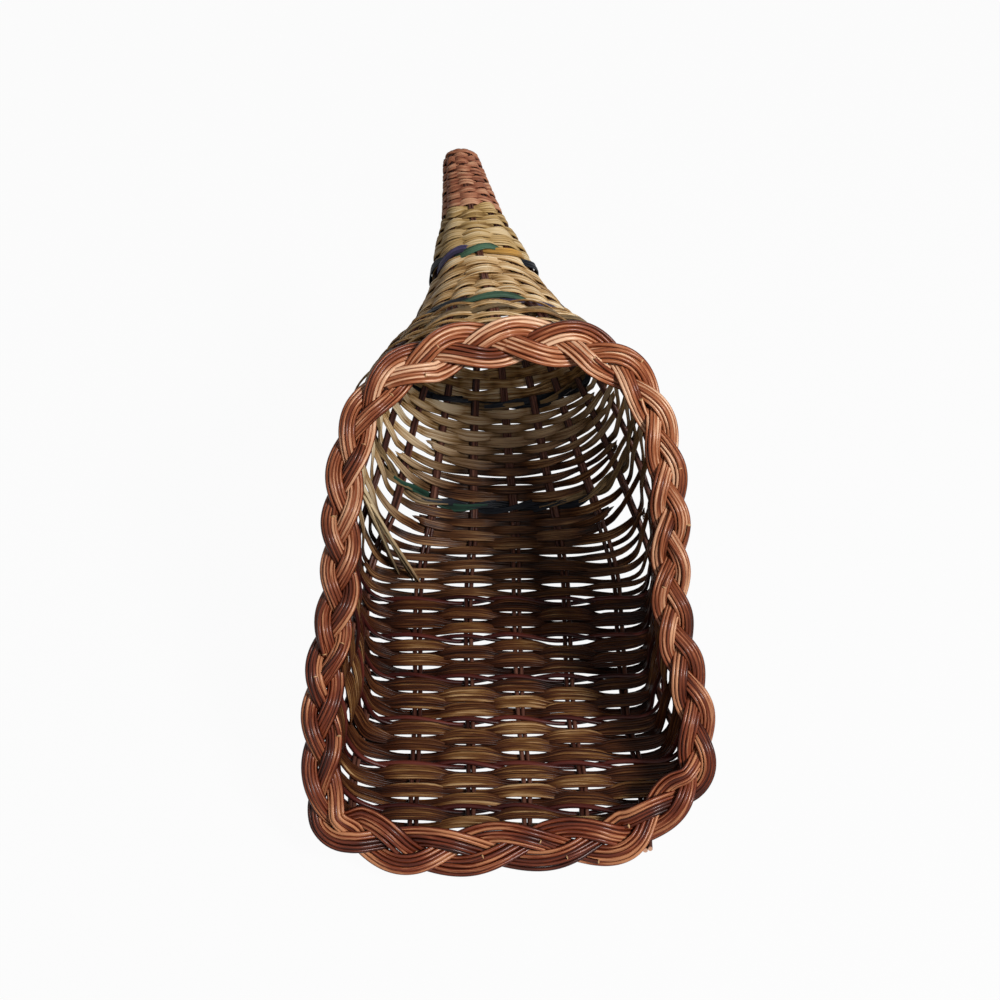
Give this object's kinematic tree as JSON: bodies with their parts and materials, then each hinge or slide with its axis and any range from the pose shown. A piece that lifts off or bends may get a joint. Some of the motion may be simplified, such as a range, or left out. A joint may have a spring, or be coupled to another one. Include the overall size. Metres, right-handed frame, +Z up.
{
  "type": "cornucopia basket",
  "caption": "Horn-shaped wicker basket with a slanted open mouth, a plaited border round it, a flat floor and a tail that rises to a closed tip.",
  "frame": {"origin": "under the middle of the basket's bounding box, on the surface that it stands on", "axes": "+Z up, +Y from the open mouth towards the tail, +X to the right as seen from the mouth"},
  "size_m": [0.212, 0.3756, 0.2138],
  "materials": {
    "stake": "varnished cane",
    "floor_weaver": "varnished cane",
    "floor_pairing": "varnished dyed cane",
    "back_weaver": "satin cane",
    "accent_pairing": "satin dyed cane",
    "tail_weaver": "satin cane",
    "tip_weaver": "satin dyed cane",
    "border_strand": "glossy varnished cane"
  },
  "bodies": {
    "root": {"long_stake_01": "stake", "long_stake_02": "stake", "long_stake_03": "stake", "long_stake_04": "stake", "long_stake_05": "stake", "long_stake_06": "stake", "long_stake_07": "stake", "long_stake_08": "stake", "long_stake_09": "stake", "long_stake_10": "stake", "bye_stake_01": "stake", "bye_stake_02": "stake", "bye_stake_03": "stake", "bye_stake_04": "stake", "bye_stake_05": "stake", "bye_stake_06": "stake", "bye_stake_07": "stake", "bye_stake_08": "stake", "bye_stake_09": "stake", "bye_stake_10": "stake", "floor_weaver_01": "floor_weaver", "floor_weaver_02": "floor_weaver", "floor_weaver_03": "floor_weaver", "floor_weaver_04": "floor_weaver", "floor_weaver_05": "floor_weaver", "floor_weaver_06": "floor_weaver", "floor_weaver_07": "floor_weaver", "floor_weaver_08": "floor_weaver", "floor_weaver_09": "floor_weaver", "floor_weaver_10": "floor_weaver", "floor_weaver_11": "floor_weaver", "floor_pairing_01": "floor_pairing", "floor_pairing_02": "floor_pairing", "floor_pairing_03": "floor_pairing", "floor_pairing_04": "floor_pairing", "floor_pairing_05": "floor_pairing", "floor_pairing_06": "floor_pairing", "back_weaver_01": "back_weaver", "back_weaver_02": "back_weaver", "back_weaver_03": "back_weaver", "back_weaver_04": "back_weaver", "back_weaver_05": "back_weaver", "back_weaver_06": "back_weaver", "back_weaver_07": "back_weaver", "back_weaver_08": "back_weaver", "back_weaver_09": "back_weaver", "accent_pairing_01": "accent_pairing", "accent_pairing_02": "accent_pairing", "accent_pairing_03": "accent_pairing", "tail_weaver_01": "tail_weaver", "tail_weaver_02": "tail_weaver", "tail_weaver_03": "tail_weaver", "tail_weaver_04": "tail_weaver", "tip_weaver_01": "tip_weaver", "tip_weaver_02": "tip_weaver", "tip_weaver_03": "tip_weaver", "border_strand_01": "border_strand", "border_strand_02": "border_strand", "border_strand_03": "border_strand", "tip_cap_01": "tip_weaver"}
  },
  "joints": []
}
